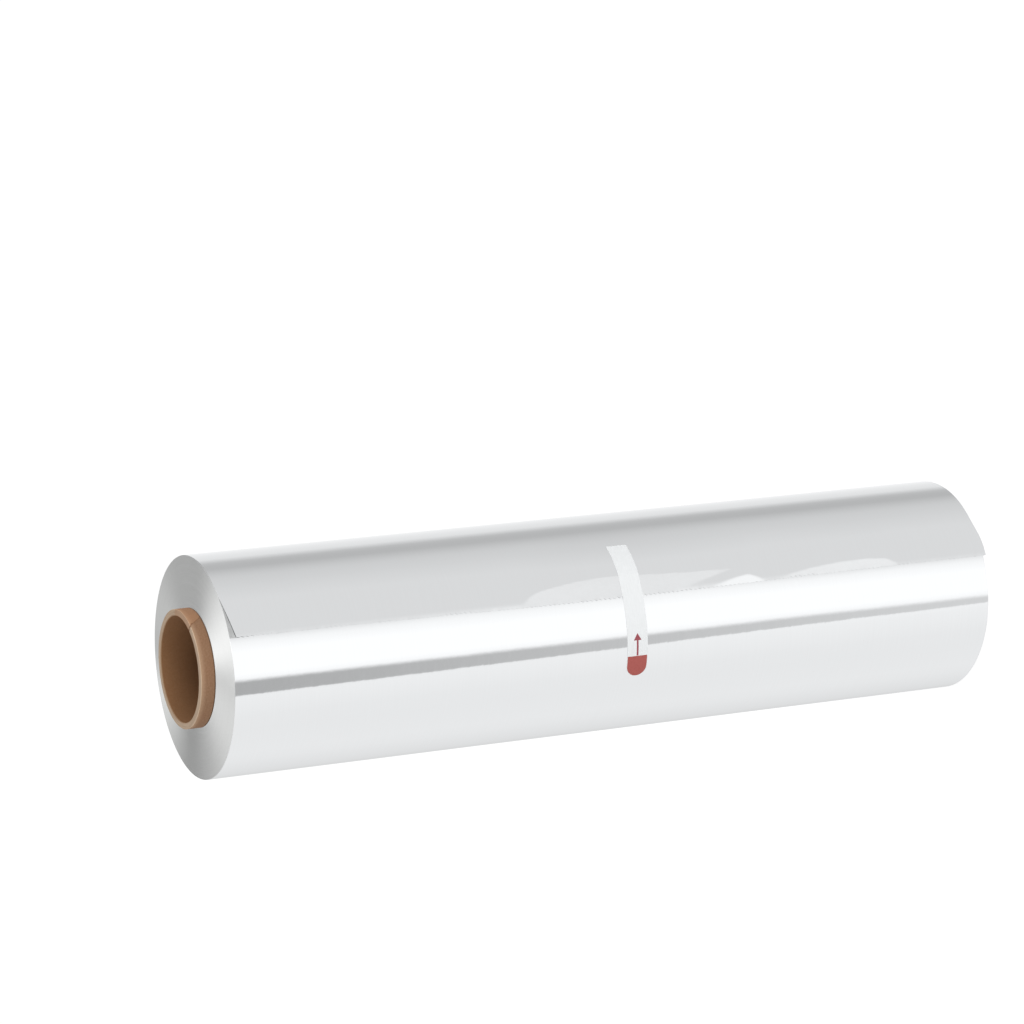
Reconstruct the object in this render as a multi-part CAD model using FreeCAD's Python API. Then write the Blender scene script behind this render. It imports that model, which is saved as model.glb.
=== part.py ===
"""A roll of aluminium kitchen foil, wound on a cardboard core, with the pull tab of an unopened roll.

Millimetres. The roll stands on its lower end: +Z runs up its axis and the origin is the centre of the
core's lower rim. Directions round the roll are given in degrees from the front (-Y), positive towards +X.
"""
import FreeCAD, Part
import math
import os

Vector = FreeCAD.Vector
UP = Vector(0, 0, 1)
ORIGIN = Vector(0, 0, 0)

# Winding
FOIL_WIDTH = 305.0
FOIL_DIAMETER = 80.2
CORE_OVERHANG = 5.5

# Core tube
CORE_BORE = 38.1
CORE_WALL = 2.3
RIM_CHAMFER = 0.25

# Turns that show as fine ridges on each end of the winding
TURN_RIDGES = 8
TURN_RIDGE_HEIGHT = 0.22
PLAIN_BAND = 0.9

# Free edge of the last turn: a low step cut in teeth, with its upper corner set back
FREE_EDGE_ANGLE = 12.3
LAST_TURN_STEP = 0.24
TOOTH_PITCH = 2.5
TOOTH_DEPTH = 0.9
TOOTH_TIP = 0.35
TOOTH_ROOT_FILM = 0.04
CORNER_SETBACK = 2.4
CORNER_LENGTH = 16.0

# Pull tab: a clear strip stuck over the free edge, with a round printed end
TAB_WIDTH = 8.2
TAB_THICKNESS = 0.14
TAB_FROM_TOP = 155.9
TAB_PLAIN_END_ANGLE = 41.8
TAB_ROUND_END_ANGLE = -31.4
TAB_DRAPE = 0.6

# Print on the tab: a coloured end and an arrow
INK_THICKNESS = 0.06
INK_MARGIN = 0.15
PRINTED_END_LENGTH = 7.9
ARROW_LENGTH = 8.3
ARROW_HEAD_LENGTH = 2.6
ARROW_HEAD_WIDTH = 3.1
ARROW_SHAFT_WIDTH = 0.7

# Sizes that follow from the ones above
CORE_RADIUS = CORE_BORE / 2 + CORE_WALL
CORE_LENGTH = FOIL_WIDTH + 2 * CORE_OVERHANG
FOIL_RADIUS = FOIL_DIAMETER / 2
FOIL_BOTTOM = CORE_OVERHANG
FOIL_TOP = FOIL_BOTTOM + FOIL_WIDTH
TAB_HEIGHT = FOIL_TOP - TAB_FROM_TOP
ROUND_END_CENTRE_ANGLE = TAB_ROUND_END_ANGLE + math.degrees(TAB_WIDTH / 2 / FOIL_RADIUS)
PRINTED_END_ANGLE = TAB_ROUND_END_ANGLE + math.degrees(PRINTED_END_LENGTH / FOIL_RADIUS)
ARROW_TIP_ANGLE = PRINTED_END_ANGLE + math.degrees((INK_MARGIN + ARROW_LENGTH) / FOIL_RADIUS)

# How far cutting shapes reach past the roll's surface, on both sides
REACH = 2.5

# Arcs that make up one turn of the winding's outline
ARCS_PER_TURN = 4


def around(angle):
    """Unit vector that points out of the roll at an angle from the front."""
    turn = math.radians(angle)
    return Vector(math.sin(turn), -math.cos(turn), 0)


def along(angle):
    """Unit vector along the surface at an angle from the front, towards larger angles."""
    turn = math.radians(angle)
    return Vector(math.cos(turn), math.sin(turn), 0)


def wedge(angle_from, angle_to, bottom, height):
    """Slice of a cylinder, larger than the roll, between two angles from the front."""
    slice_ = Part.makeCylinder(FOIL_RADIUS + REACH, height, Vector(0, 0, bottom), UP, angle_to - angle_from)
    slice_.rotate(ORIGIN, UP, angle_from - 90)
    return slice_


def surface_prism(points, angle):
    """Prism that stands through the roll's side. Its outline is (along the surface, along the axis)."""
    centre = around(angle) * (FOIL_RADIUS - REACH)
    corners = [centre + along(angle) * across + UP * height for across, height in points]
    outline = Part.makePolygon(corners + corners[:1])
    return Part.Face(outline).extrude(around(angle) * (2 * REACH))


def spiral_prism(outer_radius, edge_angle, bottom, height):
    """Solid winding whose outline closes in by one step per turn, as arcs with moving centres."""
    closing = LAST_TURN_STEP / ARCS_PER_TURN
    sweep = 360 / ARCS_PER_TURN
    centre = Vector(0, 0, bottom)
    radius = outer_radius
    edges = []
    for arc in range(ARCS_PER_TURN):
        start = edge_angle + sweep * arc
        points = [centre + around(start + share * sweep) * radius for share in (0, 0.5, 1)]
        edges.append(Part.Arc(*points).toShape())
        centre = centre + around(start + sweep) * closing
        radius = radius - closing
    first = Vector(0, 0, bottom) + around(edge_angle) * outer_radius
    last = centre + around(edge_angle) * radius
    edges.append(Part.makeLine(last, first))
    return Part.Face(Part.Wire(edges)).extrude(UP * height)


def core():
    """Plain cardboard tube with softly broken rims, longer than the foil is wide."""
    tube = Part.makeCylinder(CORE_RADIUS, CORE_LENGTH).cut(Part.makeCylinder(CORE_BORE / 2, CORE_LENGTH))
    rims = [edge for edge in tube.Edges if isinstance(edge.Curve, Part.Circle)]
    return tube.makeChamfer(RIM_CHAMFER, rims)


def ridged_winding():
    """Winding between two faces of concentric ridges, a little larger than the foil all round."""
    pitch = (FOIL_RADIUS - PLAIN_BAND - CORE_RADIUS) / TURN_RIDGES
    ridge_end = FOIL_RADIUS - PLAIN_BAND
    crests = [CORE_RADIUS + pitch * (ridge + 0.5) for ridge in range(TURN_RIDGES)]
    valleys = [CORE_RADIUS + pitch * ridge for ridge in range(TURN_RIDGES)]
    top = []
    for valley, crest in zip(valleys, crests):
        top.append(Vector(valley, 0, FOIL_TOP - TURN_RIDGE_HEIGHT))
        top.append(Vector(crest, 0, FOIL_TOP))
    top.append(Vector(ridge_end, 0, FOIL_TOP - TURN_RIDGE_HEIGHT))
    top.append(Vector(ridge_end + PLAIN_BAND / 2, 0, FOIL_TOP))
    top.append(Vector(FOIL_RADIUS + REACH, 0, FOIL_TOP))
    bottom = [Vector(point.x, 0, FOIL_TOP + FOIL_BOTTOM - point.z) for point in reversed(top)]
    return Part.Face(Part.makePolygon(top + bottom + top[:1])).revolve(ORIGIN, UP, 360)


def tooth_gap_outlines():
    """Outlines of the gaps between the teeth that a cutter leaves along the free edge."""
    count = int(FOIL_WIDTH / TOOTH_PITCH)
    first = FOIL_BOTTOM + (FOIL_WIDTH - count * TOOTH_PITCH) / 2
    outlines = []
    for tooth in range(count):
        low = first + tooth * TOOTH_PITCH + TOOTH_TIP / 2
        high = low + TOOTH_PITCH - TOOTH_TIP
        outlines.append([(-REACH, low), (0, low), (TOOTH_DEPTH, (low + high) / 2), (0, high), (-REACH, high)])
    return outlines


def corner_gap_outline():
    """Outline of the sliver missing where the last turn's upper corner is set back from the end."""
    return [
        (-REACH, FOIL_TOP + REACH),
        (-REACH, FOIL_TOP - CORNER_SETBACK),
        (0, FOIL_TOP - CORNER_SETBACK),
        (CORNER_LENGTH, FOIL_TOP),
        (CORNER_LENGTH, FOIL_TOP + REACH),
    ]


def last_turn_gaps():
    """Everything cut from the last turn, which ends just above the turn below it."""
    outlines = tooth_gap_outlines() + [corner_gap_outline()]
    turns_below = Part.makeCylinder(FOIL_RADIUS - LAST_TURN_STEP + TOOTH_ROOT_FILM, CORE_LENGTH)
    return [surface_prism(outline, FREE_EDGE_ANGLE).cut(turns_below) for outline in outlines]


def foil():
    """Wound foil as one solid, tight on its core, with the serrated free edge of its last turn."""
    winding = spiral_prism(FOIL_RADIUS, FREE_EDGE_ANGLE, FOIL_BOTTOM, FOIL_WIDTH)
    winding = winding.common(ridged_winding())
    return winding.cut(last_turn_gaps())


def tab_outline():
    """Outline of the strip as a thick slice: straight sides, a square end and a round end."""
    bottom = TAB_HEIGHT - TAB_WIDTH / 2
    strip = wedge(ROUND_END_CENTRE_ANGLE, TAB_PLAIN_END_ANGLE, bottom, TAB_WIDTH)
    centre = around(ROUND_END_CENTRE_ANGLE) * (FOIL_RADIUS - REACH) + UP * TAB_HEIGHT
    end = Part.makeCylinder(TAB_WIDTH / 2, 2 * REACH, centre, around(ROUND_END_CENTRE_ANGLE))
    return strip.fuse(end)


def draped(thickness):
    """Winding grown by a skin that drapes over the free edge and down to the turn below it."""
    edge = FREE_EDGE_ANGLE - math.degrees(TAB_DRAPE / FOIL_RADIUS)
    skin = spiral_prism(FOIL_RADIUS + thickness, edge, TAB_HEIGHT - TAB_WIDTH, 2 * TAB_WIDTH)
    return skin.cut(Part.makeCylinder(FOIL_RADIUS - REACH, CORE_LENGTH))


def pull_tab(winding):
    """Clear strip that follows the foil over its free edge."""
    return draped(TAB_THICKNESS).common(tab_outline()).cut(winding)


def printed_end():
    """Field of colour on the round end, as a thick slice, just inside the strip's edge."""
    radius = TAB_WIDTH / 2 - INK_MARGIN
    strip = wedge(ROUND_END_CENTRE_ANGLE, PRINTED_END_ANGLE, TAB_HEIGHT - radius, 2 * radius)
    centre = around(ROUND_END_CENTRE_ANGLE) * (FOIL_RADIUS - REACH) + UP * TAB_HEIGHT
    return strip.fuse(Part.makeCylinder(radius, 2 * REACH, centre, around(ROUND_END_CENTRE_ANGLE)))


def arrow():
    """Arrow that points from the printed end towards the free edge, as a thick slice."""
    middle = ARROW_TIP_ANGLE - math.degrees(ARROW_LENGTH / 2 / FOIL_RADIUS)
    tip = ARROW_LENGTH / 2
    neck = tip - ARROW_HEAD_LENGTH
    half_head = ARROW_HEAD_WIDTH / 2
    half_shaft = ARROW_SHAFT_WIDTH / 2
    outline = [
        (tip, 0),
        (neck, half_head),
        (neck, half_shaft),
        (-tip, half_shaft),
        (-tip, -half_shaft),
        (neck, -half_shaft),
        (neck, -half_head),
    ]
    return surface_prism([(across, TAB_HEIGHT + height) for across, height in outline], middle)


def tab_print():
    """Coloured end and arrow as thin layers on the strip."""
    skin = draped(TAB_THICKNESS + INK_THICKNESS).cut(draped(TAB_THICKNESS))
    layers = [skin.common(shape) for shape in (printed_end(), arrow())]
    return Part.makeCompound([solid for layer in layers for solid in layer.Solids])


def export(name, shape):
    """Writes one piece, its parts file named after the piece."""
    shape.exportStep("parts/" + name + ".step")


os.makedirs("parts", exist_ok=True)
winding = foil()
tab = pull_tab(winding)
export("core", core())
export("foil", winding)
export("pull_tab", tab)
export("tab_print", tab_print())
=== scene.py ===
"""Looks of a roll of aluminium foil on its cardboard core, with a pull tab over the free edge.

Metres, in the part's own frame: the roll stands on end, +Z runs up its axis, and angles round it are in
degrees from the front (-Y), positive towards +X. A turn is an angle past the last turn's free edge. The
camera is turned so that the roll lies across the picture.
"""
import bpy
import math
from mathutils import Matrix, Vector, noise
from types import SimpleNamespace


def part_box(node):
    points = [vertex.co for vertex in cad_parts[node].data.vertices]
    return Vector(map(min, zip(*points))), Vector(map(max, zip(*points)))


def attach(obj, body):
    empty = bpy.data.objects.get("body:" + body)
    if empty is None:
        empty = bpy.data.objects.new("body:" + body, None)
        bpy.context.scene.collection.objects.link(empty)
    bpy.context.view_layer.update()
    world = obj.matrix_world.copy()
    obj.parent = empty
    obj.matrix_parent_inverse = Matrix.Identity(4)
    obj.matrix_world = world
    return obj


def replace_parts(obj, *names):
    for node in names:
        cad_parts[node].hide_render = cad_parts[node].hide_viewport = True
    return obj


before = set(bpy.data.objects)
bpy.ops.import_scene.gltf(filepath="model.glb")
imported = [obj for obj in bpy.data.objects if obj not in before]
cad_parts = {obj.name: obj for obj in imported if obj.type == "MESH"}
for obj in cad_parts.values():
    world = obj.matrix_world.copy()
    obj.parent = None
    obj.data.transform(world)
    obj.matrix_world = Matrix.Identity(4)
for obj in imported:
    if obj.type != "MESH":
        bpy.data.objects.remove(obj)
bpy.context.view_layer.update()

MM = 0.001
WHOLE_TURN = 360
ROOT = "root"

# Sizes read from the frame
FOIL_LOW, FOIL_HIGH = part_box("foil")
CORE_LOW, CORE_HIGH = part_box("core")
TAB_LOW, TAB_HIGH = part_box("pull_tab")
FOIL_RADIUS = FOIL_HIGH.x
CORE_RADIUS = CORE_HIGH.x
TAB_HEIGHT = (TAB_LOW.z + TAB_HIGH.z) / 2
TAB_HALF_WIDTH = (TAB_HIGH.z - TAB_LOW.z) / 2

# Camera: the photograph's view, with the picture's up along +X
PICTURE_WIDTH = 1024
FOCAL_PIXELS = 3816
CAMERA_PLACE = Vector((0, -1.2745, 0.7712))
CAMERA_AIM = Vector((0.0438, 0, 0.1805))
PICTURE_UP = Vector((0.9932, -0.0752, -0.0888))

# Free edge of the last turn. It sags towards the middle and settles onto the turn below, less so at the tab.
# Past LOOSE_TURN the sheet is wound tight.
FREE_EDGE_ANGLE = 12.4
EDGE_SAG_ANGLE = 1.5
EDGE_SAG_HEIGHT = 160 * MM
EDGE_SAG_REACH = 70 * MM
CLOSING_PER_TURN = 0.24 * MM
EDGE_DIP = 0.215 * MM
EDGE_DIP_AT_TAB = 0.155 * MM
EDGE_DIP_TURN = 45
TAB_PULL_REACH = 40 * MM
LOOSE_TURN = 90
RIM_ROUNDING = 0.05 * MM

# Teeth along the free edge. Away from the tab they are faint, but for the stretches where a slow noise climbs
# through CLEAR_STRETCH.
TEETH = 165
TOOTH_DEPTH = 0.8 * MM
TOOTH_BEND = 0.035 * MM
MEAN_TOOTH = 0.85
TOOTH_SPREAD = 0.4
CLEAR_TEETH_REACH = 26 * MM
CLEAR_STRETCH = (0.05, 0.3)
FAINT_TEETH = 0.35

# Upper corner of the last turn, set back and loose, with a sliver of the turn below bare beside it. The
# sliver is coloured with painted shade.
CORNER_SETBACK = 2.4 * MM
CORNER_CURVE = 1.3
CORNER_TURN = 22
CORNER_LIFT = 0.25 * MM
CORNER_LIFT_REACH = 12 * MM
LAST_TURN_SETBACK = 0.1 * MM
SLIVER_WIDTH = 2.7 * MM

# Lower corner of the last turn, which stands out past the end face
FAR_LAP = 1.3 * MM
FAR_LAP_TURNS = (5, 24)

# Columns of the sheet's vertices, as turns: close at the edge and over the slack, then plain, then the lap
EDGE_COLUMNS = (0, 1.4, 2.2, 3.0, 3.8)
SLACK_COLUMNS = 32
SLACK_COLUMN_STEP = 0.8
PLAIN_START = 30
PLAIN_COLUMN_STEP = 2
LAP_COLUMNS = 22
LAP_COLUMN_STEP = 1.5

# Rows of the sheet's vertices beside each end, as distances from the end
END_ROWS = (0, 0.03 * MM, 0.08 * MM, 0.16 * MM, 0.32 * MM)

# Unevenness of the wound sheet, each sort with its size round the roll, its size along it and a seed
BROAD_RIPPLE = (22 * MM, 60 * MM, 0)
BROAD_RIPPLE_HEIGHT = 0.035 * MM
FINE_RIPPLE = (6 * MM, 9 * MM, 7)
FINE_RIPPLE_HEIGHT = 0.004 * MM
DENTS = (3 * MM, 4 * MM, 31)
DENT_HEIGHT = 0.002 * MM
DENT_THRESHOLD = 0.35

# Slack patches of the last turn. Each flank is flat: it faces one way, given as an angle from the front. The
# lower and upper edges of a flank are lines through (height in mm, turn).
SLACK_PATCHES = (
    {"facing": 12.4,
     "lower": ((199, 0), (139, 0), (132, 2), (126, 4), (117, 6.6), (107, 9.7)),
     "upper": ((199, 0), (197.6, 2.6), (196.4, 5), (194, 7.2), (191, 8.6), (186, 9.9), (179, 11.4),
               (172, 12.4), (160, 12.9), (139, 11.2), (126, 10.3), (107, 9.7))},
    {"facing": 9.6,
     "lower": ((122, 0), (100, 0)),
     "upper": ((122, 0), (117, 2.2), (112, 4), (106, 5.2), (102, 2.6), (100, 0))},
    {"facing": 11.7,
     "lower": ((94, 0), (42, 0)),
     "upper": ((94, 0), (89, 2.4), (80, 4.6), (68, 6), (55, 6.1), (47, 5), (44, 2.4), (42, 0))},
)
SLACK_FALL_TURN = 28

# Edges that bend more than this, in degrees, are shaded as sharp
SHARP_ANGLE = 35

# Vertices of an end face, with its ridges fading out over the outermost rings
END_RINGS = 96
END_PLAIN_RINGS = 3
END_SEGMENTS = 240

# Fine ridges of an end face: their mean depth, then two sorts of them, each as (pitch, degrees round the roll
# over which they change, seed, height)
END_DIP = 0.05 * MM
END_RIDGES = ((1.6 * MM, 500, 5, 0.045 * MM), (0.5 * MM, 200, 9, 0.03 * MM))

# Painted light on the turns' edges of an end face: a darker tone at the back and a lighter one at the front,
# as the light falls
END_PAINTED_SHADE_BACK = (0.74, 0.745, 0.74, 1)
END_PAINTED_LIGHT_FRONT = (0.96, 0.965, 0.96, 1)

# Core. Its spiral seam climbs by one lead per turn. The band at the rim has a tone of its own. The band below
# it on the outside is a painted highlight, and the band just above the foil is painted contact shade. The
# shares are of a turn.
CORE_WALL = 2.3 * MM
CORE_SEGMENTS = 180
CORE_ROWS = 24
RIM_CORNER = 0.18 * MM
RIM_RING_SHARES = (0.06, 0.2, 0.35, 0.5, 0.65, 0.8, 0.94)
RIM_FUZZ = 0.12 * MM
RIM_FUZZ_SIZE = 1.1 * MM
SEAM_LEAD = 165 * MM
SEAM_ANGLE = 45.5
SEAM_UNEVENNESS = 0.02
SEAM_SHARE = 0.005
SEAM_PLY_SHARE = 0.12
PAINTED_CONTACT_SHADE_BAND = 0.35 * MM
RIM_BAND = 0.35 * MM
PAINTED_HIGHLIGHT_BAND = 2.4 * MM

# Pull tab
TAB_PLAIN_END_ANGLE = 41.8
TAB_ROUND_END_ANGLE = -31.4
TAB_THICKNESS = 0.05 * MM
TAB_CLEARANCE = 0.01 * MM
TAB_DRAPE = 0.9 * MM
INK_THICKNESS = 0.015 * MM
INK_MARGIN = 0.15 * MM
PRINTED_END_LENGTH = 7.9 * MM
ARROW_LENGTH = 8.3 * MM
ARROW_HEAD_LENGTH = 2.6 * MM
ARROW_HEAD_HALF = 1.55 * MM
ARROW_SHAFT_HALF = 0.36 * MM
ARROW_TIP_HALF = 0.01 * MM
ARROW_SHOULDER_ANGLE = 0.02

# Stations along the tab and its print. A round end starts with a small share of its full width.
TAB_STEPS = 110
ROUND_END_STEPS = 12
ROUND_TIP_SHARE = 0.02
PRINTED_END_STEPS = 8
ARROW_SHAFT_STEPS = 6
ARROW_HEAD_STEPS = 5


def around(angle):
    """Unit vector that points out of the roll at an angle from the front."""
    turn = math.radians(angle)
    return Vector((math.sin(turn), -math.cos(turn), 0))


def smooth(low, high, value):
    """0 below low, 1 above high, and a smooth ramp between them."""
    share = min(1, max(0, (value - low) / (high - low)))
    return share * share * (3 - 2 * share)


def arc_angle(length):
    """Angle in degrees that a length takes up round the foil."""
    return math.degrees(length / FOIL_RADIUS)


# Shape of the foil

def free_edge(height):
    """Angle of the free edge, which sags a little where the tab pulls on it."""
    sag = math.exp(-(((height - EDGE_SAG_HEIGHT) / EDGE_SAG_REACH) ** 2))
    return FREE_EDGE_ANGLE - EDGE_SAG_ANGLE * sag


def ripple(angle, height):
    """Slight unevenness of the wound sheet, the same for every turn."""
    broad = sheet_noise(angle, height, *BROAD_RIPPLE)
    fine = sheet_noise(angle, height, *FINE_RIPPLE)
    dents = max(0, sheet_noise(angle, height, *DENTS) - DENT_THRESHOLD)
    return BROAD_RIPPLE_HEIGHT * broad + FINE_RIPPLE_HEIGHT * fine + DENT_HEIGHT * dents


def sheet_noise(angle, height, size_round, size_along, seed):
    """Smooth noise over the foil's side."""
    place = around(angle) * (FOIL_RADIUS / size_round)
    return noise.noise(Vector((place.x, place.y, height / size_along + seed)))


def trace(points, height):
    """Turn of a line through points at a height. Points run from the highest to the lowest."""
    level = height / MM
    for (high, first), (low, last) in zip(points, points[1:]):
        if low <= level <= high:
            return first + (last - first) * (high - level) / (high - low)
    return None


def flank_rise(start, turn, edge, facing):
    """Rise of a flat flank between two turns, with the free edge at an angle."""
    near = math.radians(edge + start)
    far = math.radians(edge + turn)
    return FOIL_RADIUS * ((far * far - near * near) / 2 - math.radians(facing) * (far - near))


def slack(turn, height):
    """Height of the last turn's slack: flat flanks that face one way, then a long soft fall."""
    lift = 0
    edge = free_edge(height)
    for patch in SLACK_PATCHES:
        low = trace(patch["lower"], height)
        high = trace(patch["upper"], height)
        if low is None or turn <= low or high <= low:
            continue
        rise = flank_rise(low, min(turn, high), edge, patch["facing"])
        lift += rise * (1 - smooth(high, high + SLACK_FALL_TURN, turn))
    return lift


def corner_lift(turn, height):
    """How far the loose upper corner of the last turn stands off."""
    near_end = smooth(FOIL_HIGH.z - CORNER_LIFT_REACH, FOIL_HIGH.z, height)
    return CORNER_LIFT * (1 - smooth(0, CORNER_TURN, turn)) * near_end


def edge_dip(turn, height):
    """How far the last turn settles onto the turn below it near its free edge, least where the tab pulls."""
    pull = math.exp(-(((height - TAB_HEIGHT) / TAB_PULL_REACH) ** 2))
    return (EDGE_DIP + (EDGE_DIP_AT_TAB - EDGE_DIP) * pull) * (1 - smooth(0, EDGE_DIP_TURN, turn))


def sheet_radius(turn, height):
    """Radius of the sheet at a turn."""
    angle = free_edge(height) + turn
    closing = CLOSING_PER_TURN * turn / WHOLE_TURN
    radius = FOIL_RADIUS - closing + ripple(angle, height) - edge_dip(turn, height)
    if turn < LOOSE_TURN:
        radius += slack(turn, height) + corner_lift(turn, height)
    return radius - rim_drop(height)


def rim_drop(height):
    """How far the sheet's sides turn in at both ends of the roll."""
    from_end = min(FOIL_HIGH.z - height, height - FOIL_LOW.z)
    share = min(1, max(0, 1 - from_end / (2 * RIM_ROUNDING)))
    return RIM_ROUNDING * share * share


def sheet_top(turn):
    """Height of the sheet's upper side, which is set back near the free corner."""
    if turn > CORNER_TURN:
        return FOIL_HIGH.z
    setback = CORNER_SETBACK * (1 - turn / CORNER_TURN) ** CORNER_CURVE
    return FOIL_HIGH.z - setback - LAST_TURN_SETBACK


def sheet_bottom(turn):
    """Height of the sheet's lower side. The last turn is wound askew and stands out near its corner."""
    return FOIL_LOW.z - FAR_LAP * (1 - smooth(*FAR_LAP_TURNS, turn))


def sheet_turns():
    """Turns at which the sheet has a column of vertices, close where it bends."""
    slack_part = [EDGE_COLUMNS[-1] + SLACK_COLUMN_STEP * step for step in range(1, SLACK_COLUMNS + 1)]
    plain_part = list(range(PLAIN_START, WHOLE_TURN, PLAIN_COLUMN_STEP))
    lap = [WHOLE_TURN + LAP_COLUMN_STEP * step for step in range(LAP_COLUMNS)]
    return list(EDGE_COLUMNS) + slack_part + plain_part + lap


def sheet_rows():
    """Shares of the sheet's width, two to a tooth, with more near both ends."""
    width = FOIL_HIGH.z - FOIL_LOW.z
    rows = [step / width for step in END_ROWS]
    rows += [row / (2 * TEETH) for row in range(1, 2 * TEETH)]
    rows += [1 - step / width for step in reversed(END_ROWS)]
    return rows


def sheet_mesh():
    """One sheet that starts at the toothed free edge, goes once round and ends under itself."""
    turns = sheet_turns()
    rows = sheet_rows()
    points = []
    for index, share in enumerate(rows):
        root = (index - len(END_ROWS)) % 2 == 1
        for turn in turns:
            height = sheet_bottom(turn) + share * (sheet_top(turn) - sheet_bottom(turn))
            start = arc_angle(tooth_depth(index, height)) if root and turn == 0 else turn
            radius = sheet_radius(start, height)
            if turn == 0 and not root:
                radius += TOOTH_BEND * row_noise(index, step=0.61, seed=4)
            points.append(around(free_edge(height) + start) * radius + Vector((0, 0, height)))
    return points, grid_faces(len(rows), len(turns))


def bare_sliver_faces(mesh):
    """Faces of the turn below that the set-back corner lays bare."""
    turns = sheet_turns()[:-1]
    chosen = []
    for face in mesh.polygons:
        turn = turns[face.index % len(turns)]
        if turn >= WHOLE_TURN and face.center.z > FOIL_HIGH.z - SLIVER_WIDTH:
            chosen.append(face)
    return chosen


def row_noise(index, step, seed=0):
    """Smooth noise along the free edge, which moves on by a step at each row of vertices."""
    return noise.noise(Vector((index * step, seed, 0)))


def tooth_depth(index, height):
    """Depth of one tooth's root. The teeth are clear beside the tab, and come and go further along."""
    uneven = MEAN_TOOTH + TOOTH_SPREAD * row_noise(index, step=0.37)
    beside_tab = math.exp(-(((height - TAB_HEIGHT) / CLEAR_TEETH_REACH) ** 2))
    patch = smooth(*CLEAR_STRETCH, row_noise(index, step=0.06, seed=9))
    return TOOTH_DEPTH * uneven * (FAINT_TEETH + (1 - FAINT_TEETH) * max(beside_tab, patch))


def end_dip(radius, turn, side):
    """Depth of the fine ridges that the turns' edges make on an end face."""
    dip = END_DIP
    for pitch, change, seed, height in END_RIDGES:
        dip += height * noise.noise(Vector((radius / pitch, side * seed, turn / change)))
    return dip


def end_face_mesh(top):
    """Face of turn edges between the core and the outermost turn."""
    side = 1 if top else -1
    level = FOIL_HIGH.z if top else FOIL_LOW.z
    points = []
    for segment in range(END_SEGMENTS):
        turn = WHOLE_TURN * segment / END_SEGMENTS
        under_last = turn < CORNER_TURN + PLAIN_COLUMN_STEP
        outer = sheet_radius(turn + (WHOLE_TURN if under_last else 0), level)
        angle = free_edge(level) + turn
        for ring in range(END_RINGS + 1):
            radius = CORE_RADIUS + (outer - CORE_RADIUS) * ring / END_RINGS
            ridged = 1 - smooth(END_RINGS - END_PLAIN_RINGS, END_RINGS, ring)
            dip = end_dip(radius, turn, side) * ridged
            points.append(around(angle) * radius + Vector((0, 0, level - side * dip)))
    faces = grid_faces(END_SEGMENTS, END_RINGS + 1, wrap=True)
    if top:
        faces = [face[::-1] for face in faces]
    return points, faces


# Mesh helpers

def grid_faces(rows, columns, wrap=False):
    """Quads of a grid of vertices stored row by row."""
    faces = []
    for row in range(rows if wrap else rows - 1):
        above = (row + 1) % rows
        for column in range(columns - 1):
            a = row * columns + column
            b = above * columns + column
            faces.append((a, a + 1, b + 1, b))
    return faces


def make_piece(name, points, faces, material, slot):
    """A mesh piece that rides on the part and takes the given material. The slot is not used."""
    mesh = bpy.data.meshes.new(name)
    mesh.from_pydata([tuple(point) for point in points], [], faces)
    mesh.polygons.foreach_set("use_smooth", [True] * len(mesh.polygons))
    mesh.materials.append(material)
    mesh.set_sharp_from_angle(angle=math.radians(SHARP_ANGLE))
    piece = bpy.data.objects.new(name, mesh)
    bpy.context.scene.collection.objects.link(piece)
    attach(piece, ROOT)
    return piece


# Core

def core_mesh():
    """Tube with slightly fuzzy rims, as rings from the lower rim, up the outside and down the bore."""
    wall_low = CORE_LOW.z + RIM_CORNER
    wall_length = CORE_HIGH.z - CORE_LOW.z - 2 * RIM_CORNER
    heights = [wall_low + wall_length * row / CORE_ROWS for row in range(CORE_ROWS + 1)]
    outside = [(CORE_RADIUS, height) for height in heights]
    inside = [(CORE_RADIUS - CORE_WALL, height) for height in reversed(heights)]
    rim_radii = [CORE_RADIUS - CORE_WALL * share for share in RIM_RING_SHARES]
    upper = [(radius, CORE_HIGH.z) for radius in rim_radii]
    lower = [(radius, CORE_LOW.z) for radius in reversed(rim_radii)]
    profile = outside + upper + inside + lower
    points = []
    for segment in range(CORE_SEGMENTS):
        angle = WHOLE_TURN * segment / CORE_SEGMENTS
        for radius, height in profile:
            fuzzed = height - rim_fuzz(radius, angle, height)
            points.append(around(angle) * radius + Vector((0, 0, fuzzed)))
    faces = []
    count = len(profile)
    for segment in range(CORE_SEGMENTS):
        here = segment * count
        following = (segment + 1) % CORE_SEGMENTS * count
        for step in range(count):
            after = (step + 1) % count
            faces.append((here + step, following + step, following + after, here + after))
    return points, faces


def rim_fuzz(radius, angle, height):
    """Small dips where the cutter left the rim's plies uneven. The lower rim stays flat to stand on."""
    if height < CORE_HIGH.z - 2 * RIM_CORNER:
        return 0
    place = around(angle) * (radius / RIM_FUZZ_SIZE)
    return RIM_FUZZ * (0.5 + 0.5 * noise.noise(Vector((place.x, place.y, 3))))


# Pull tab

def skin_radius(angle, height):
    """Radius of the foil under the tab, with the drop at the free edge eased as the tab bridges it."""
    turn = angle - free_edge(height)
    above = sheet_radius(max(turn, 0), height)
    below = sheet_radius(WHOLE_TURN + min(turn, 0), height)
    return below + (above - below) * smooth(-arc_angle(TAB_DRAPE), 0, turn)


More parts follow.
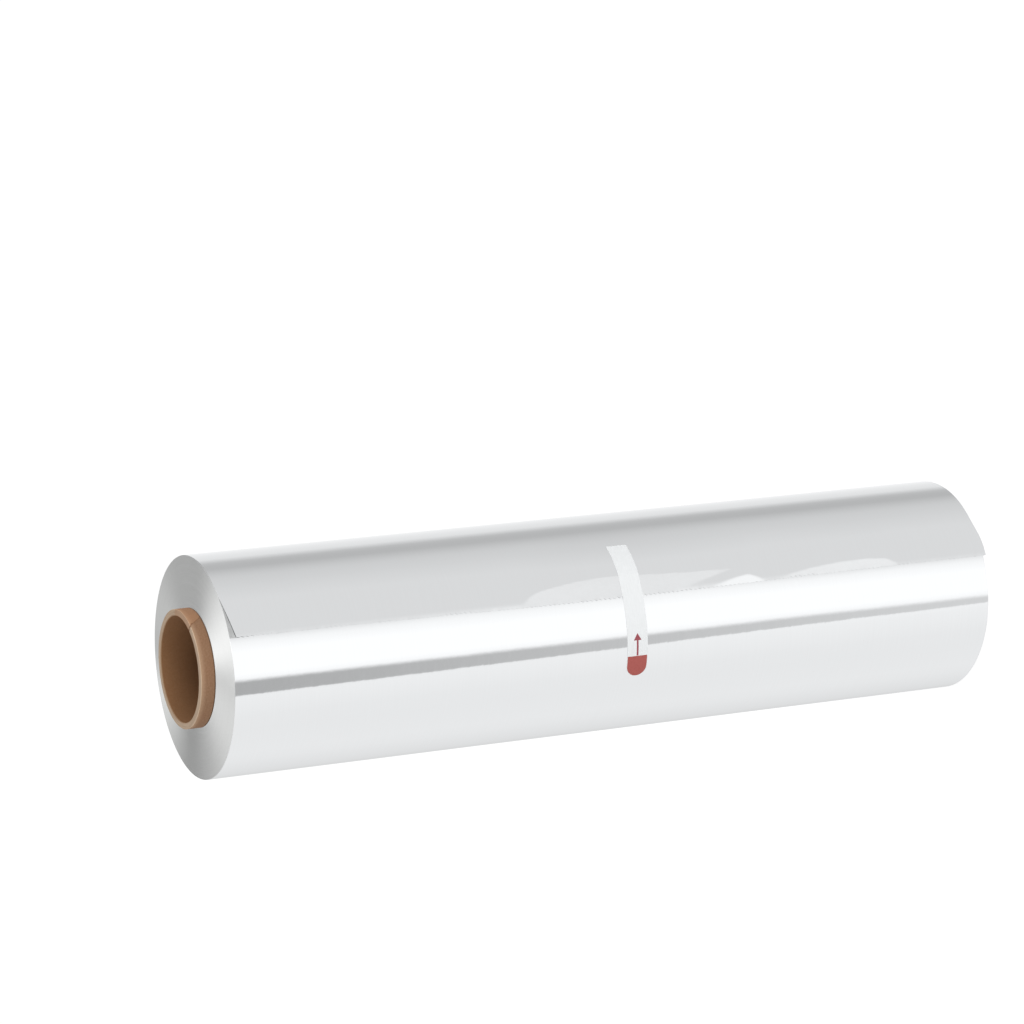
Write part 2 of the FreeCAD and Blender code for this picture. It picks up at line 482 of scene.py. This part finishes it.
def strip_mesh(stations, lift, thickness, across=8):
    """Thin closed strip on the foil. A station is its angle and its half width there."""
    points = []
    for layer in (lift + thickness, lift):
        for angle, half in stations:
            for step in range(across + 1):
                height = TAB_HEIGHT + half * (2 * step / across - 1)
                radius = skin_radius(angle, height) + layer
                points.append(around(angle) * radius + Vector((0, 0, height)))
    rows, columns = len(stations), across + 1
    top = [face[::-1] for face in grid_faces(rows, columns)]
    below = rows * columns
    bottom = [tuple(below + corner for corner in reversed(face)) for face in top]
    rim = [(row, 0) for row in range(rows)]
    rim += [(rows - 1, column) for column in range(1, columns)]
    rim += [(row, columns - 1) for row in range(rows - 2, -1, -1)]
    rim += [(0, column) for column in range(columns - 2, 0, -1)]
    ring = [row * columns + column for row, column in rim]
    sides = [(a, b, b + below, a + below) for a, b in zip(ring, ring[1:] + ring[:1])]
    return points, top + bottom + sides


def round_end_stations(half, tip_angle, stop_angle, steps):
    """Stations of a strip with a half-round end at its tip, closest there, up to a square end."""
    turn = arc_angle(half)
    stations = []
    for step in range(ROUND_END_STEPS):
        share = (step / ROUND_END_STEPS) ** 2
        reach = half * math.sqrt(1 - (1 - share) ** 2)
        stations.append((tip_angle + turn * share, max(reach, ROUND_TIP_SHARE * half)))
    start = tip_angle + turn
    stations += [(start + (stop_angle - start) * step / steps, half) for step in range(steps + 1)]
    return stations


def tab_mesh():
    """The whole strip, from its round end to its plain end."""
    stations = round_end_stations(TAB_HALF_WIDTH, TAB_ROUND_END_ANGLE, TAB_PLAIN_END_ANGLE, TAB_STEPS)
    return strip_mesh(stations, TAB_CLEARANCE, TAB_THICKNESS)


def printed_end_mesh():
    """Coloured field on the round end, just inside the strip's edge."""
    half = TAB_HALF_WIDTH - INK_MARGIN
    tip = TAB_ROUND_END_ANGLE + arc_angle(INK_MARGIN)
    stop = TAB_ROUND_END_ANGLE + arc_angle(PRINTED_END_LENGTH)
    stations = round_end_stations(half, tip, stop, PRINTED_END_STEPS)
    return strip_mesh(stations, TAB_CLEARANCE + TAB_THICKNESS, INK_THICKNESS)


def arrow_mesh():
    """Arrow from the coloured field towards the free edge."""
    start = TAB_ROUND_END_ANGLE + arc_angle(PRINTED_END_LENGTH + INK_MARGIN)
    neck = start + arc_angle(ARROW_LENGTH - ARROW_HEAD_LENGTH)
    tip = start + arc_angle(ARROW_LENGTH)
    stations = []
    for step in range(ARROW_SHAFT_STEPS + 1):
        stations.append((start + (neck - start) * step / ARROW_SHAFT_STEPS, ARROW_SHAFT_HALF))
    for step in range(ARROW_HEAD_STEPS + 1):
        share = step / ARROW_HEAD_STEPS
        angle = neck + ARROW_SHOULDER_ANGLE + (tip - neck) * share
        stations.append((angle, ARROW_HEAD_HALF * (1 - share) + ARROW_TIP_HALF))
    return strip_mesh(stations, TAB_CLEARANCE + TAB_THICKNESS, INK_THICKNESS, across=2)


# Materials

def display(grey):
    """Linear value of a grey given as it shows on the display, from 0 to 1."""
    return grey / 12.92 if grey <= 0.04045 else ((grey + 0.055) / 1.055) ** 2.4


def paint(red, green, blue):
    """Linear colour of a display colour given from 0 to 255."""
    return (display(red / 255), display(green / 255), display(blue / 255), 1)


def new_material(name):
    """New node material, with its tree and its shader."""
    material = bpy.data.materials.new(name)
    material.use_nodes = True
    return material, material.node_tree, material.node_tree.nodes["Principled BSDF"]


def add(tree, kind, **settings):
    """New node with some of its settings."""
    node = tree.nodes.new(kind)
    for key, value in settings.items():
        setattr(node, key, value)
    return node


def feed(tree, socket, value):
    """Gives an input a plain number or colour, or joins it to another socket."""
    if isinstance(value, (int, float, tuple)):
        socket.default_value = value
    else:
        tree.links.new(value, socket)


def set_inputs(tree, node, **values):
    """Feeds a node's inputs by their names, with underscores for spaces."""
    for name, value in values.items():
        feed(tree, node.inputs[name.replace("_", " ")], value)


def math_node(tree, operation, *values):
    """Math node, fed by sockets or plain numbers."""
    node = add(tree, "ShaderNodeMath", operation=operation)
    for socket, value in zip(node.inputs, values):
        feed(tree, socket, value)
    return node.outputs[0]


def map_range(tree, value, low, high, first, last, smoothed=True):
    """Value moved from one range to another, held at its ends."""
    node = add(tree, "ShaderNodeMapRange", interpolation_type="SMOOTHSTEP" if smoothed else "LINEAR")
    for socket, setting in zip(node.inputs, (value, low, high, first, last)):
        feed(tree, socket, setting)
    return node.outputs[0]


def front_turn(tree, x, y):
    """Angle of a place or direction from the front, in radians."""
    return math_node(tree, "ARCTAN2", x, math_node(tree, "MULTIPLY", y, -1))


def separated(tree, vector):
    """Sockets for the three parts of a vector."""
    node = add(tree, "ShaderNodeSeparateXYZ")
    feed(tree, node.inputs[0], vector)
    return node.outputs


def roll_coordinates(tree):
    """Sockets for the place, the angle round the roll (-0.5 to 0.5 of a turn), the radius and the height."""
    place = add(tree, "ShaderNodeTexCoord").outputs["Object"]
    x, y, z = separated(tree, place)
    turn = math_node(tree, "DIVIDE", front_turn(tree, x, y), 2 * math.pi)
    squares = [math_node(tree, "MULTIPLY", side, side) for side in (x, y)]
    radius = math_node(tree, "SQRT", math_node(tree, "ADD", *squares))
    return SimpleNamespace(place=place, turn=turn, radius=radius, height=z)


def noise_node(tree, vector, scale, detail=2, roughness=0.5):
    """Noise texture's factor at a vector."""
    node = add(tree, "ShaderNodeTexNoise")
    set_inputs(tree, node, Vector=vector, Scale=scale, Detail=detail, Roughness=roughness)
    return node.outputs[0]


def stretched_noise(tree, parts, detail=2, roughness=0.5):
    """Noise over up to three coordinates, each with the number of noise cells to its unit."""
    vector = add(tree, "ShaderNodeCombineXYZ")
    for socket, (coordinate, cells) in zip(vector.inputs, parts):
        feed(tree, socket, math_node(tree, "MULTIPLY", coordinate, cells))
    return noise_node(tree, vector.outputs[0], 1, detail, roughness)


def ramp(tree, factor, stops):
    """Colour ramp with (position, colour) stops."""
    node = add(tree, "ShaderNodeValToRGB")
    elements = node.color_ramp.elements
    while len(elements) < len(stops):
        elements.new(0.5)
    for element, (position, colour) in zip(elements, stops):
        element.position = position
        element.color = colour
    feed(tree, node.inputs[0], factor)
    return node.outputs[0]


def two_tones(tree, factor, low, high):
    """Colour between two tones, by the middle part of a noise."""
    return ramp(tree, factor, [(0.3, low), (0.7, high)])


def circle_ramp(tree, angle, stops):
    """Colour ramp over a whole circle, by an angle in radians, with its stops in degrees."""
    share = math_node(tree, "ADD", math_node(tree, "DIVIDE", angle, 2 * math.pi), 0.5)
    return ramp(tree, share, [(place / WHOLE_TURN + 0.5, colour) for place, colour in stops])


def mix_colours(tree, factor, first, second, blend="MIX"):
    """Colour between two, which are sockets or colours."""
    node = add(tree, "ShaderNodeMix", data_type="RGBA", blend_type=blend)
    for socket, value in ((node.inputs[0], factor), (node.inputs[6], first), (node.inputs[7], second)):
        feed(tree, socket, value)
    return node.outputs[2]


def masked(tree, mask, strength, first, second):
    """First colour, moved towards the second by a strength where a mask is 1."""
    return mix_colours(tree, math_node(tree, "MULTIPLY", mask, strength), first, second)


def bump(tree, shader, height, strength, distance):
    """Bump on a shader from a height socket."""
    node = add(tree, "ShaderNodeBump")
    set_inputs(tree, node, Height=height, Strength=strength, Distance=distance)
    feed(tree, shader.inputs["Normal"], node.outputs[0])


def foil_side_material():
    """Bright side of rolled foil: nearly a mirror, with faint lines the way it was rolled."""
    material, tree, shader = new_material("foil_bright")
    roll = roll_coordinates(tree)
    lines = stretched_noise(tree, ((roll.turn, 9), (roll.height, 1400)), detail=3)
    crumple = noise_node(tree, roll.place, scale=90, detail=4, roughness=0.6)
    tone = two_tones(tree, lines, (0.884, 0.890, 0.895, 1), (0.892, 0.898, 0.903, 1))
    roughness = map_range(tree, lines, 0, 1, 0.03, 0.07, smoothed=False)
    set_inputs(tree, shader, Base_Color=tone, Metallic=1, Roughness=roughness)
    bump(tree, shader, crumple, strength=0.06, distance=0.4 * MM)
    return material


def painted_slit_shade_material():
    """Foil in the slit beside the loose corner, darkened with painted shade where little light reaches it."""
    material, tree, shader = new_material("foil_painted_slit_shade")
    uneven = noise_node(tree, roll_coordinates(tree).place, scale=700)
    # Painted shade: a dark tone stands in for the shadow in the slit
    tone = two_tones(tree, uneven, (0.52, 0.525, 0.52, 1), (0.64, 0.645, 0.64, 1))
    set_inputs(tree, shader, Base_Color=tone, Metallic=1, Roughness=0.3)
    return material


def foil_end_material():
    """Edges of the wound turns: satin, brushed round the axis, with painted light that makes them lighter at
    the front and darker at the back.
    """
    material, tree, shader = new_material("foil_turn_edges")
    roll = roll_coordinates(tree)
    rings = stretched_noise(tree, ((roll.radius, 9000), (roll.turn, 3)), detail=4, roughness=0.6)
    tone = two_tones(tree, rings, (0.93, 0.935, 0.93, 1), (1, 1, 1, 1))
    # Painted light: the base colour runs from a darker tone at the back to a lighter one at the front
    facing = math_node(tree, "COSINE", math_node(tree, "MULTIPLY", roll.turn, 2 * math.pi))
    side = mix_colours(tree, map_range(tree, facing, -0.5, 0.5, 0, 1), END_PAINTED_SHADE_BACK, END_PAINTED_LIGHT_FRONT)
    colour = mix_colours(tree, 1, tone, side, blend="MULTIPLY")
    tangent = add(tree, "ShaderNodeTangent", direction_type="RADIAL", axis="Z").outputs[0]
    set_inputs(tree, shader, Base_Color=colour, Metallic=1, Roughness=0.40)
    set_inputs(tree, shader, Anisotropic=1, Anisotropic_Rotation=0.25, Tangent=tangent)
    bump(tree, shader, rings, strength=0.12, distance=0.2 * MM)
    return material


def seam_distance(tree, roll):
    """How far round from the core's spiral seam, from 0 to 1 of a turn. The seam runs slightly unevenly."""
    start = SEAM_ANGLE / WHOLE_TURN + CORE_HIGH.z / SEAM_LEAD
    advance = math_node(tree, "ADD", roll.turn, math_node(tree, "DIVIDE", roll.height, SEAM_LEAD))
    uneven = math_node(tree, "MULTIPLY", noise_node(tree, roll.place, scale=900), SEAM_UNEVENNESS)
    along = math_node(tree, "ADD", advance, uneven)
    return math_node(tree, "FRACT", math_node(tree, "SUBTRACT", along, start))


def board_walls(tree, roll, fibres, outside):
    """Colour of the core's walls: fibres and blotches, with a painted highlight that makes the outside paler
    beside the upper rim.
    """
    stops = [(0.25, paint(129, 100, 75)), (0.5, paint(141, 111, 86)), (0.8, paint(157, 126, 101))]
    blotches = noise_node(tree, roll.place, scale=130)
    wall = masked(tree, blotches, 0.4, ramp(tree, fibres, stops), paint(142, 96, 70))
    # Painted highlight: the outside pales towards the upper rim
    rim_highlight = map_range(tree, roll.height, CORE_HIGH.z - PAINTED_HIGHLIGHT_BAND, CORE_HIGH.z, 0, 0.5)
    return masked(tree, outside, rim_highlight, wall, paint(194, 162, 134))


def core_material():
    """Kraft board: fibres, faint blotches, plies on the rim and a spiral seam on the walls, with painted
    shade on the outside just above the foil and a painted highlight below the upper rim.
    """
    material, tree, shader = new_material("kraft_board")
    roll = roll_coordinates(tree)
    cells = ((roll.turn, 180), (roll.height, 1500), (roll.radius, 1500))
    fibres = stretched_noise(tree, cells, detail=5, roughness=0.6)
    outside = math_node(tree, "GREATER_THAN", roll.radius, CORE_RADIUS - 0.1 * CORE_WALL)
    inside = math_node(tree, "LESS_THAN", roll.radius, CORE_RADIUS - 0.9 * CORE_WALL)
    on_rim = math_node(tree, "GREATER_THAN", roll.height, CORE_HIGH.z - RIM_BAND)
    # Painted shade: the outside is darkened just above the foil, where the two parts meet
    low = math_node(tree, "LESS_THAN", roll.height, FOIL_HIGH.z + PAINTED_CONTACT_SHADE_BAND)
    contact_shade = math_node(tree, "MULTIPLY", outside, low)
    seam = seam_distance(tree, roll)
    line = math_node(tree, "LESS_THAN", seam, SEAM_SHARE)
    ply = math_node(tree, "LESS_THAN", seam, SEAM_PLY_SHARE)
    plies = stretched_noise(tree, ((roll.turn, 14), (roll.radius, 4200)), detail=3, roughness=0.6)
    rim = two_tones(tree, plies, paint(175, 150, 126), paint(212, 188, 163))
    colour = mix_colours(tree, on_rim, board_walls(tree, roll, fibres, outside), rim)
    colour = masked(tree, inside, 0.55, colour, paint(154, 110, 70))
    colour = masked(tree, line, 0.85, colour, paint(58, 40, 28))
    colour = masked(tree, ply, 0.45, colour, paint(178, 132, 98))
    # Painted contact shade, dark brown over the band above the foil
    colour = masked(tree, contact_shade, 0.7, colour, paint(66, 50, 38))
    set_inputs(tree, shader, Base_Color=colour, Roughness=0.85, Specular_IOR_Level=0.25)
    bump(tree, shader, math_node(tree, "SUBTRACT", fibres, line), strength=0.3, distance=0.2 * MM)
    return material


def tab_material():
    """Milky clear film, with a soft gloss and faint streaks."""
    material, tree, shader = new_material("milky_film")
    roll = roll_coordinates(tree)
    streaks = stretched_noise(tree, ((roll.turn, 60), (roll.height, 3000)))
    tone = two_tones(tree, streaks, paint(234, 236, 237), paint(240, 242, 243))
    set_inputs(tree, shader, Base_Color=tone, Roughness=0.38, Specular_IOR_Level=0.3, Alpha=0.93)
    bump(tree, shader, streaks, strength=0.08, distance=0.1 * MM)
    return material


def ink_material(name, colour, darker):
    """Matt printing ink, slightly uneven."""
    material, tree, shader = new_material(name)
    uneven = noise_node(tree, roll_coordinates(tree).place, scale=1500, detail=3, roughness=0.6)
    tone = two_tones(tree, uneven, darker, colour)
    set_inputs(tree, shader, Base_Color=tone, Roughness=0.5, Specular_IOR_Level=0.3)
    return material


# Studio

# Bearing from the front in degrees, and the grey that the foil shows of the studio there, from 0 to 255
STUDIO_SIDES = (
    (-180, 225), (-172, 209), (-160, 212), (-154, 217), (-142, 222), (-130, 226), (-118, 230), (-105, 232),
    (-73, 231), (-57, 232), (-49, 234), (-32, 238), (-19, 246), (-12, 255), (10, 255), (16, 250),
    (20, 246), (22.4, 240), (24.5, 232), (26.5, 223), (29, 217), (65, 217), (81, 211), (97, 204),
    (102, 199), (114, 181), (120, 181), (126, 187), (132, 208), (137, 223), (171, 239), (180, 225),
)
FOIL_SHINE = 0.89
COOL_TINT = (0.993, 1, 1.006)

# Dark gap between two of the studio's lights. Its far edge shifts and its grey changes with the height of the
# direction in which the foil shows it.
GAP_START = -16.2
GAP_DEEP = -21.5
GAP_END = -26.4
GAP_END_SOFTNESS = 0.7
GAP_END_SHIFT = 44
GAP_LOW = -0.524
GAP_HIGH = -0.353
GAP_GREY_LOW = 209
GAP_GREY_HIGH = 171

# Light from above that the end faces show, as (direction in degrees, strength). The directions go round the
# point that a flat end face mirrors to the camera.
FAN_CENTRE = 0.94
STUDIO_FAN = (
    (-90, 0.48), (-80, 0.53), (-66, 0.68), (-52, 0.80), (-40, 0.84), (-26, 0.81), (-12, 0.62), (-4, 0.80),
    (7, 1.30), (18, 1.14), (30, 0.95), (40, 0.78), (50, 0.59), (62, 0.41), (75, 0.39), (90, 0.46),
)

# Heights of a direction between which the studio's sides give way to the light from above
ABOVE_HEIGHTS = (0.07, 0.15)

# Plain light for matt surfaces, and the floor. The glow is what the light on the floor lacks to white.
WHITE = (1, 1, 1, 1)
PLAIN_LIGHT = (0.62, 0.62, 0.62, 1)
FLOOR_TONE = (0.8, 0.8, 0.8, 1)
FLOOR_GLOW = 0.51
FLOOR_REACH = 30
LAMP_SIZE = 1.2
LAMPS = (("key", (1.4, -1.4, 0.5), 17), ("fill", (-1.2, -1.6, 0.45), 12))


def shown(grey):
    """Light that the foil shows as a display grey, made up for what the foil takes away."""
    light = display(grey / 255) / FOIL_SHINE
    return tuple(light * tint for tint in COOL_TINT) + (1,)


def studio_sides(tree, turn, height):
    """What the roll's side reflects: soft bands of light and one dark gap."""
    bands = circle_ramp(tree, turn, [(place, shown(grey)) for place, grey in STUDIO_SIDES])
    bearing = math_node(tree, "DEGREES", turn)
    level = math_node(tree, "MINIMUM", height, GAP_HIGH)
    rise = math_node(tree, "MULTIPLY", math_node(tree, "SUBTRACT", level, GAP_LOW), GAP_END_SHIFT)
    shifted = math_node(tree, "ADD", bearing, rise)
    near_edge = map_range(tree, bearing, GAP_DEEP, GAP_START, 1, 0)
    far_edge = map_range(tree, shifted, GAP_END - GAP_END_SOFTNESS, GAP_END + GAP_END_SOFTNESS, 0, 1)
    depth = map_range(tree, height, GAP_LOW, GAP_HIGH, 0, 1, smoothed=False)
    gap = mix_colours(tree, depth, shown(GAP_GREY_LOW), shown(GAP_GREY_HIGH))
    return masked(tree, near_edge, far_edge, bands, gap)


def studio_above(tree, across, depth):
    """What the end faces reflect: a fan of soft panels overhead, brightest a little off its middle."""
    fan = math_node(tree, "ARCTAN2", across, math_node(tree, "SUBTRACT", FAN_CENTRE, depth))
    return circle_ramp(tree, fan, [(place, (light, light, light, 1)) for place, light in STUDIO_FAN])


def build_world():
    """White for the camera, plain light for matt surfaces, and the studio for the foil to reflect."""
    world = bpy.data.worlds.new("studio")
    bpy.context.scene.world = world
    world.use_nodes = True
    world.cycles.sampling_method = "NONE"
    tree = world.node_tree
    x, y, z = separated(tree, add(tree, "ShaderNodeTexCoord").outputs["Generated"])
    sides = studio_sides(tree, front_turn(tree, x, y), z)
    overhead = map_range(tree, z, *ABOVE_HEIGHTS, 0, 1)
    seen_in_foil = mix_colours(tree, overhead, sides, studio_above(tree, x, y))
    path = add(tree, "ShaderNodeLightPath")
    colour = mix_colours(tree, path.outputs["Is Glossy Ray"], PLAIN_LIGHT, seen_in_foil)
    colour = mix_colours(tree, path.outputs["Is Camera Ray"], colour, WHITE)
    set_inputs(tree, tree.nodes["Background"], Color=colour)


def build_floor():
    """Pale floor that is white to the camera where the plain light reaches it."""
    mesh = bpy.data.meshes.new("floor")
    corners = [(x * FLOOR_REACH, y * FLOOR_REACH, 0) for x, y in ((-1, -1), (1, -1), (1, 1), (-1, 1))]
    mesh.from_pydata(corners, [], [(0, 1, 2, 3)])
    floor = bpy.data.objects.new("floor", mesh)
    bpy.context.scene.collection.objects.link(floor)
    material, tree, shader = new_material("pale_floor")
    set_inputs(tree, shader, Base_Color=FLOOR_TONE, Roughness=1, Specular_IOR_Level=0)
    glow = add(tree, "ShaderNodeEmission")
    path = add(tree, "ShaderNodeLightPath")
    strength = math_node(tree, "MULTIPLY", path.outputs["Is Camera Ray"], FLOOR_GLOW)
    feed(tree, glow.inputs["Strength"], strength)
    both = add(tree, "ShaderNodeAddShader")
    for socket, part in zip(both.inputs, (shader, glow)):
        feed(tree, socket, part.outputs[0])
    feed(tree, tree.nodes["Material Output"].inputs["Surface"], both.outputs[0])
    mesh.materials.append(material)
    floor.visible_glossy = False


def build_lamp(name, place, power):
    """Soft square lamp that faces the roll and doesn't show in the foil."""
    lamp = bpy.data.lights.new(name, "AREA")
    lamp.energy = power
    lamp.size = LAMP_SIZE
    holder = bpy.data.objects.new(name, lamp)
    holder.location = place
    aim = Vector((0, 0, FOIL_HIGH.z / 2)) - place
    holder.rotation_euler = aim.to_track_quat("-Z", "Y").to_euler()
    holder.visible_glossy = False
    bpy.context.scene.collection.objects.link(holder)


def build_camera():
    """The photograph's camera, rolled so that the roll's axis lies across the picture."""
    data = bpy.data.cameras.new("camera")
    data.lens = FOCAL_PIXELS * data.sensor_width / PICTURE_WIDTH
    data.clip_end = 100
    camera = bpy.data.objects.new("camera", data)
    back = (CAMERA_PLACE - CAMERA_AIM).normalized()
    right = PICTURE_UP.cross(back).normalized()
    up = back.cross(right)
    turned = Matrix((right, up, back)).transposed().to_4x4()
    camera.matrix_world = Matrix.Translation(CAMERA_PLACE) @ turned
    bpy.context.scene.collection.objects.link(camera)
    bpy.context.scene.camera = camera


def build_foil():
    """Side and both end faces of the wound foil, in place of the plain solid."""
    bright = foil_side_material()
    edges = foil_end_material()
    side = make_piece("foil_sheet", *sheet_mesh(), bright, "foil")
    upper = make_piece("foil_end_upper", *end_face_mesh(True), edges, "foil")
    lower = make_piece("foil_end_lower", *end_face_mesh(False), edges, "foil")
    # The bare sliver's faces take the painted shade of the slit
    side.data.materials.append(painted_slit_shade_material())
    for face in bare_sliver_faces(side.data):
        face.material_index = 1
    for piece in (side, upper, lower):
        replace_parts(piece, "foil")


def build_core():
    """Cardboard tube in place of the plain solid."""
    tube = make_piece("core_tube", *core_mesh(), core_material(), "core")
    tube.visible_glossy = False
    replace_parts(tube, "core")


def build_tab():
    """Pull tab and its print in place of the plain solids."""
    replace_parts(make_piece("tab_strip", *tab_mesh(), tab_material(), "tab"), "pull_tab")
    red = ink_material("red_ink", paint(172, 92, 86), paint(164, 84, 78))
    dark = ink_material("arrow_ink", paint(160, 84, 92), paint(150, 76, 84))
    end = make_piece("tab_printed_end", *printed_end_mesh(), red, "print")
    arrow = make_piece("tab_arrow", *arrow_mesh(), dark, "print")
    for piece in (end, arrow):
        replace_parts(piece, "tab_print")


build_camera()
build_world()
build_floor()
for lamp_name, lamp_place, lamp_power in LAMPS:
    build_lamp(lamp_name, Vector(lamp_place), lamp_power)
build_foil()
build_core()
build_tab()
bpy.context.scene.view_settings.view_transform = "Standard"
